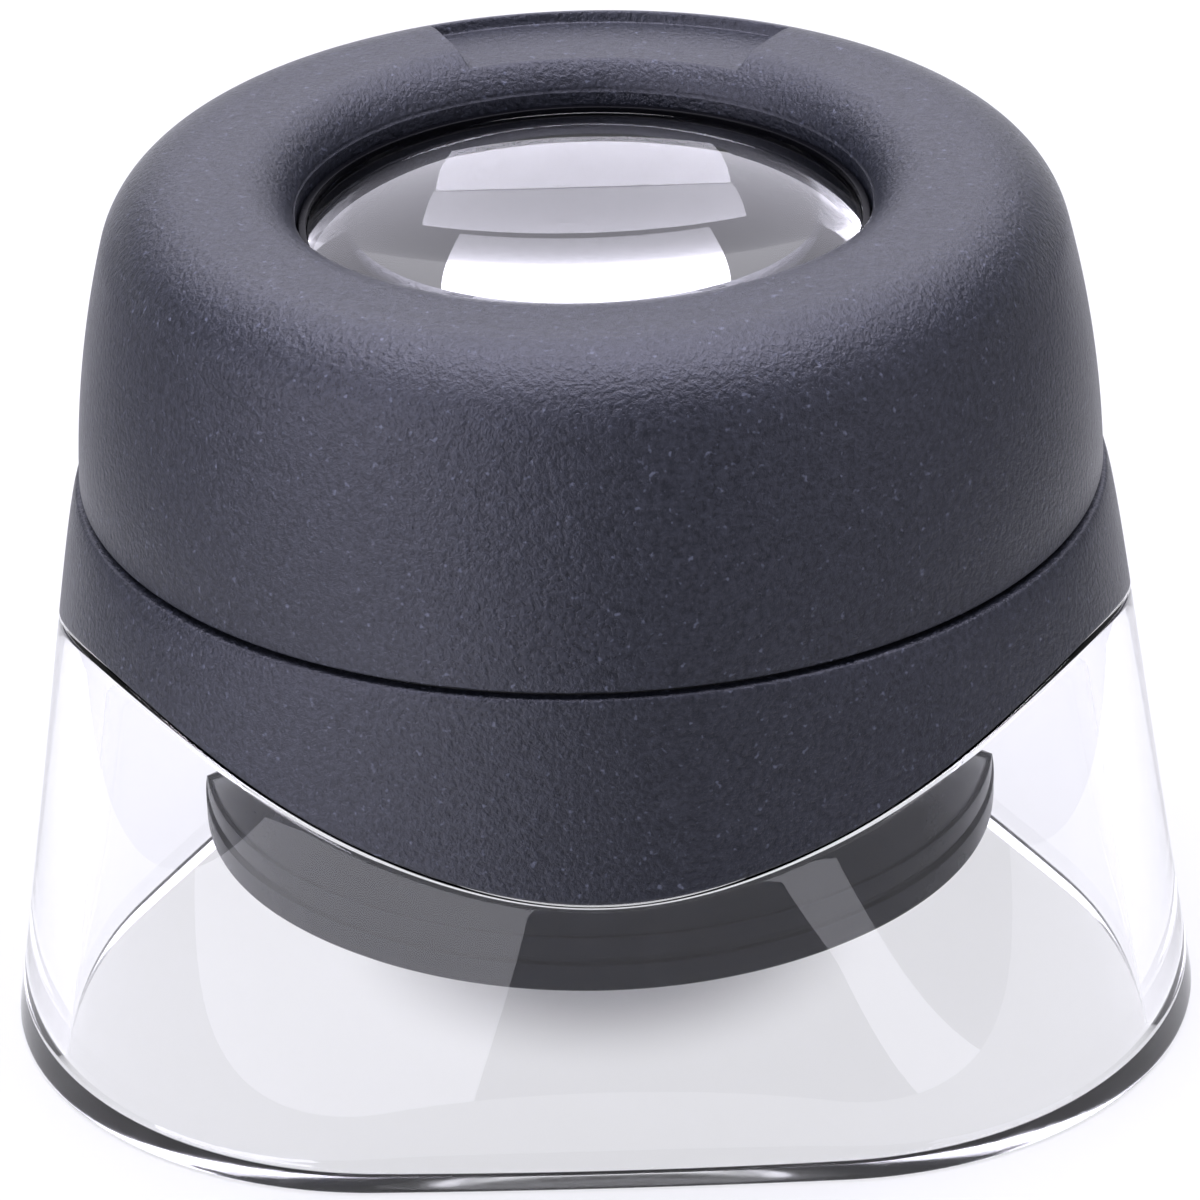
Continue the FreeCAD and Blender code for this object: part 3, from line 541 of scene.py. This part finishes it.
def make_barrel():
    """Lens barrel: tube for the lenses, light skirt and beaded foot."""
    skirt_bore = 19.6 * MM
    skirt = 21.0 * MM
    groove = 20.95 * MM
    bead = 21.2 * MM
    flange_high, groove_high, bead_high = 10.6 * MM, 11.0 * MM, 12.2 * MM
    step_low, step_high = 16.8 * MM, 18.3 * MM
    tube, tube_bore, tube_foot, tube_low = 17.6 * MM, 15.6 * MM, 17.2 * MM, 14.2 * MM
    seat, counterbore, counterbore_low = 14.4 * MM, 16.5 * MM, 36.9 * MM
    crisp = 0.08 * MM
    barrel = turned_mesh("barrel_shell", [
        (skirt_bore, BARREL_FOOT, 2 * crisp), (BARREL_RADIUS, BARREL_FOOT, 4 * crisp),
        (BARREL_RADIUS, flange_high, crisp), (groove, flange_high, crisp),
        (groove, groove_high, crisp), (bead, groove_high, crisp),
        (bead, bead_high, crisp), (skirt, bead_high, crisp),
        (skirt, step_high, 4 * crisp), (tube, step_high, crisp),
        (tube, BARREL_TOP, crisp), (counterbore, BARREL_TOP, crisp),
        (counterbore, counterbore_low, crisp), (tube_bore, counterbore_low, crisp),
        (tube_bore, LOWER_RIM_LOW, 0.0), (seat, LOWER_RIM_LOW, 0.0),
        (seat, tube_low, crisp), (tube_foot, tube_low, crisp),
        (tube_foot, step_low, crisp), (skirt_bore, step_low, crisp)], "lens_cell")
    barrel.data.materials.append(BARREL)
    return barrel


def make_bezel():
    """Glossy bezel round the eye lens, with its spigot."""
    bore, nose, flange = 14.35 * MM, 14.78 * MM, 17.5 * MM
    flange_high = 39.3 * MM
    spigot_bore, spigot = 15.65 * MM, 16.45 * MM
    crisp = 0.05 * MM
    bezel = turned_mesh("bezel_ring", [
        (bore, BARREL_TOP, crisp), (spigot_bore, BARREL_TOP, crisp),
        (spigot_bore, BEZEL_LOW, crisp), (spigot, BEZEL_LOW, crisp),
        (spigot, BARREL_TOP, crisp), (flange, BARREL_TOP, crisp),
        (flange, flange_high, crisp), (nose, flange_high, crisp),
        (nose, BEZEL_TOP, 2 * crisp), (bore, BEZEL_TOP, 2 * crisp)], "lens_cell")
    bezel.data.materials.append(GLOSS)
    return bezel


# ---------------------------------------------------------------- assembly

def stand_for(piece, slot, *nodes):
    """Let a piece stand for CAD nodes by hiding the nodes."""
    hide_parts(*nodes)


def finish_node(node, material):
    """Give a CAD node that stays visible its material."""
    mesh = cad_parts[node].data
    mesh.materials.clear()
    mesh.materials.append(material)


def build_loupe():
    """Every visible piece, with its material."""
    stand_for(make_stand(), "clear_acrylic", "clear_stand")
    stand_for(make_collar(), "grip_black", "collar")
    stand_for(make_cap(), "grip_black", "focus_cap")
    stand_for(make_eye_lens(), "lens", "upper_lens")
    stand_for(make_field_lens(), "lens", "lower_lens")
    stand_for(make_barrel(), "barrel_black", "lens_barrel")
    stand_for(make_bezel(), "bezel_black", "eyepiece_bezel")
    for node, material in (
            ("guide_sleeve", SLEEVE), ("cam_sleeve", SLEEVE), ("guide_screws", STEEL),
            ("cap_clip", STEEL), ("follower_pins", STEEL), ("drag_ring", RUBBER),
            ("lens_cushion", RUBBER), ("spacer_tube", BARREL)):
        finish_node(node, material)


# ---------------------------------------------------------------- floor, light and camera

def level_panel(name, left, right, near, far, height, material):
    """Level four-cornered piece of the studio."""
    mesh = bpy.data.meshes.new(name)
    mesh.from_pydata([(left, near, height), (right, near, height), (right, far, height),
                      (left, far, height)], [], [(0, 1, 2, 3)])
    panel = bpy.data.objects.new(name, mesh)
    bpy.context.scene.collection.objects.link(panel)
    mesh.materials.append(material)
    return panel


FLOOR_HALF = 3.0
FLOOR_HEIGHT = -0.02 * MM       # just under the foot, so that the two faces don't coincide
# Painted shadow round the axis: the floor's glow rises from the first strength to the second
# between these radii.
PAINTED_SHADOW_RADII = (6.0 * MM, 15.0 * MM)
PAINTED_SHADOW_GLOW_STRENGTHS = (0.2, 0.71)


def make_floor():
    """Wide pale floor that glows as a light table does, with a painted shadow: the glow is weaker
    right under the lenses.
    """
    material, tree, shader = new_material(
        "floor_white_painted_shadow", Base_Color=(0.15, 0.15, 0.155, 1), Roughness=0.9,
        Specular_IOR_Level=0.1, Emission_Color=(0.97, 0.97, 1, 1))
    place = tree.nodes.new("ShaderNodeTexCoord")
    reach = tree.nodes.new("ShaderNodeVectorMath")
    reach.operation = "LENGTH"
    # Painted shadow: the glow strength is set by the distance from the axis.
    glow_with_painted_shadow = tree.nodes.new("ShaderNodeMapRange")
    glow_with_painted_shadow.interpolation_type = "SMOOTHSTEP"
    for socket, value in zip(("From Min", "From Max", "To Min", "To Max"),
                             PAINTED_SHADOW_RADII + PAINTED_SHADOW_GLOW_STRENGTHS):
        glow_with_painted_shadow.inputs[socket].default_value = value
    tree.links.new(place.outputs["Object"], reach.inputs[0])
    tree.links.new(reach.outputs["Value"], glow_with_painted_shadow.inputs["Value"])
    tree.links.new(glow_with_painted_shadow.outputs["Result"], shader.inputs["Emission Strength"])
    level_panel("floor", -FLOOR_HALF, FLOOR_HALF, -FLOOR_HALF, FLOOR_HALF, FLOOR_HEIGHT,
                material)


# Sheets that paint reflections into the loupe's upright walls; they lie just above the floor.
REFLECTION_SHEET_HEIGHT = 0.05 * MM
FRONT_BAND = (-0.085, -0.036)   # near and far edges of the painted reflection sheets right in front of the stand
NEAR_BAND = (-0.180, -0.085)
SIDE_BAND = (-0.160, 0.160)


def lay_painted_reflection(name, left, right, band, material):
    """Sheet lying on the floor that only shows as a painted reflection in the loupe."""
    reflection_sheet = level_panel(name, left, right, *band, REFLECTION_SHEET_HEIGHT, material)
    reflection_sheet.visible_camera = False
    reflection_sheet.visible_transmission = False
    reflection_sheet.visible_diffuse = False
    reflection_sheet.visible_shadow = False


def make_painted_reflections():
    """Painted reflections round the loupe: dark sheets paint shade and glowing bright sheets paint
    bright patches into the zones mirrored by its upright walls.
    """
    shade_reflection = new_material("painted_reflection_shade", Base_Color=(0.01, 0.01, 0.012, 1), Roughness=0.9,
                         Specular_IOR_Level=0.1)[0]
    dim_reflection = new_material("painted_reflection_dim", Base_Color=(0.1, 0.1, 0.11, 1), Roughness=0.9,
                        Specular_IOR_Level=0.1)[0]
    bright_reflection = new_material("painted_reflection_bright", Base_Color=(0.15, 0.15, 0.155, 1), Roughness=0.9,
                         Emission_Color=(0.93, 0.92, 1, 1), Emission_Strength=2.2)[0]
    # Painted reflections: the black and grey sheets paint shade, the glowing white ones paint
    # bright patches; none is seen except in reflections.
    for name, left, right, band, material in (
            ("painted_reflection_front_left", -0.078, -0.008, FRONT_BAND, bright_reflection),
            ("painted_reflection_front_middle", -0.008, 0.022, FRONT_BAND, shade_reflection),
            ("painted_reflection_front_near", -0.060, 0.060, NEAR_BAND, shade_reflection),
            ("painted_reflection_front_slot", 0.022, 0.034, FRONT_BAND, bright_reflection),
            ("painted_reflection_front_right", 0.034, 0.078, FRONT_BAND, shade_reflection),
            ("painted_reflection_left", -0.260, -0.078, SIDE_BAND, dim_reflection),
            ("painted_reflection_right", 0.078, 0.260, SIDE_BAND, dim_reflection)):
        lay_painted_reflection(name, left, right, band, material)


def make_world(front, back):
    """Pale surroundings that brighten from the front to the back of the room."""
    world = bpy.data.worlds.new("studio")
    bpy.context.scene.world = world
    world.use_nodes = True
    tree = world.node_tree
    way = tree.nodes.new("ShaderNodeTexCoord")
    parts = tree.nodes.new("ShaderNodeSeparateXYZ")
    spread = tree.nodes.new("ShaderNodeMapRange")
    spread.interpolation_type = "SMOOTHSTEP"
    spread.inputs["From Min"].default_value = -0.7
    spread.inputs["From Max"].default_value = 0.7
    spread.inputs["To Min"].default_value = front
    spread.inputs["To Max"].default_value = back
    tree.links.new(way.outputs["Generated"], parts.inputs["Vector"])
    tree.links.new(parts.outputs["Y"], spread.inputs["Value"])
    tree.links.new(spread.outputs["Result"], tree.nodes["Background"].inputs["Strength"])
    tree.nodes["Background"].inputs["Color"].default_value = (0.96, 0.96, 1, 1)


LIGHT_DISTANCE = 1.0
LIGHT_COLOUR = (0.89, 0.87, 1.0)
LIGHT_AIM = Vector((0, 0, 0.03))


def add_softbox(name, azimuth, elevation, width, depth, radiance):
    """Rectangular soft light facing the loupe, given by how bright its face is."""
    turn, rise = math.radians(azimuth), math.radians(elevation)
    way = Vector((math.sin(turn) * math.cos(rise), math.cos(turn) * math.cos(rise),
                  math.sin(rise)))
    light = bpy.data.lights.new(name, "AREA")
    light.shape = "RECTANGLE"
    light.size = width
    light.size_y = depth
    light.energy = radiance * math.pi * width * depth
    light.color = LIGHT_COLOUR
    lamp = bpy.data.objects.new(name, light)
    bpy.context.scene.collection.objects.link(lamp)
    lamp.location = way * LIGHT_DISTANCE + LIGHT_AIM
    lamp.rotation_euler = way.to_track_quat("Z", "Y").to_euler()


def make_lights():
    """Panels from behind the loupe to overhead, brighter upwards, and one low at each side."""
    add_softbox("back_panel", 0, 30, 1.05, 0.75, 2.2)
    add_softbox("sloping_panel", 0, 63, 1.5, 0.36, 4.5)
    add_softbox("overhead_panel", 0, 90, 1.5, 0.58, 9.8)
    add_softbox("left_panel", -128, 13, 1.0, 0.45, 8.0)
    add_softbox("right_panel", 122, 13, 0.9, 0.45, 2.2)


CAMERA_PLACE = Vector((0.0, -0.2526, 0.15297))
CAMERA_AIM = Vector((0.00027, 0.0, 0.01968))
CAMERA_ROLL = math.radians(-1.58)


def make_camera():
    """Long lens, looking down at the loupe from about 28 degrees."""
    data = bpy.data.cameras.new("camera")
    data.sensor_width = 36.0
    data.lens = 160.0
    data.clip_start = 0.01
    camera = bpy.data.objects.new("camera", data)
    bpy.context.scene.collection.objects.link(camera)
    camera.location = CAMERA_PLACE
    aim = (CAMERA_AIM - CAMERA_PLACE).to_track_quat("-Z", "Y")
    roll = Matrix.Rotation(CAMERA_ROLL, 4, "Z")
    camera.rotation_euler = (aim.to_matrix().to_4x4() @ roll).to_euler()
    bpy.context.scene.camera = camera


build_loupe()
make_floor()
make_painted_reflections()
make_world(0.08, 0.2)
make_lights()
make_camera()
bpy.context.scene.view_settings.view_transform = "Standard"
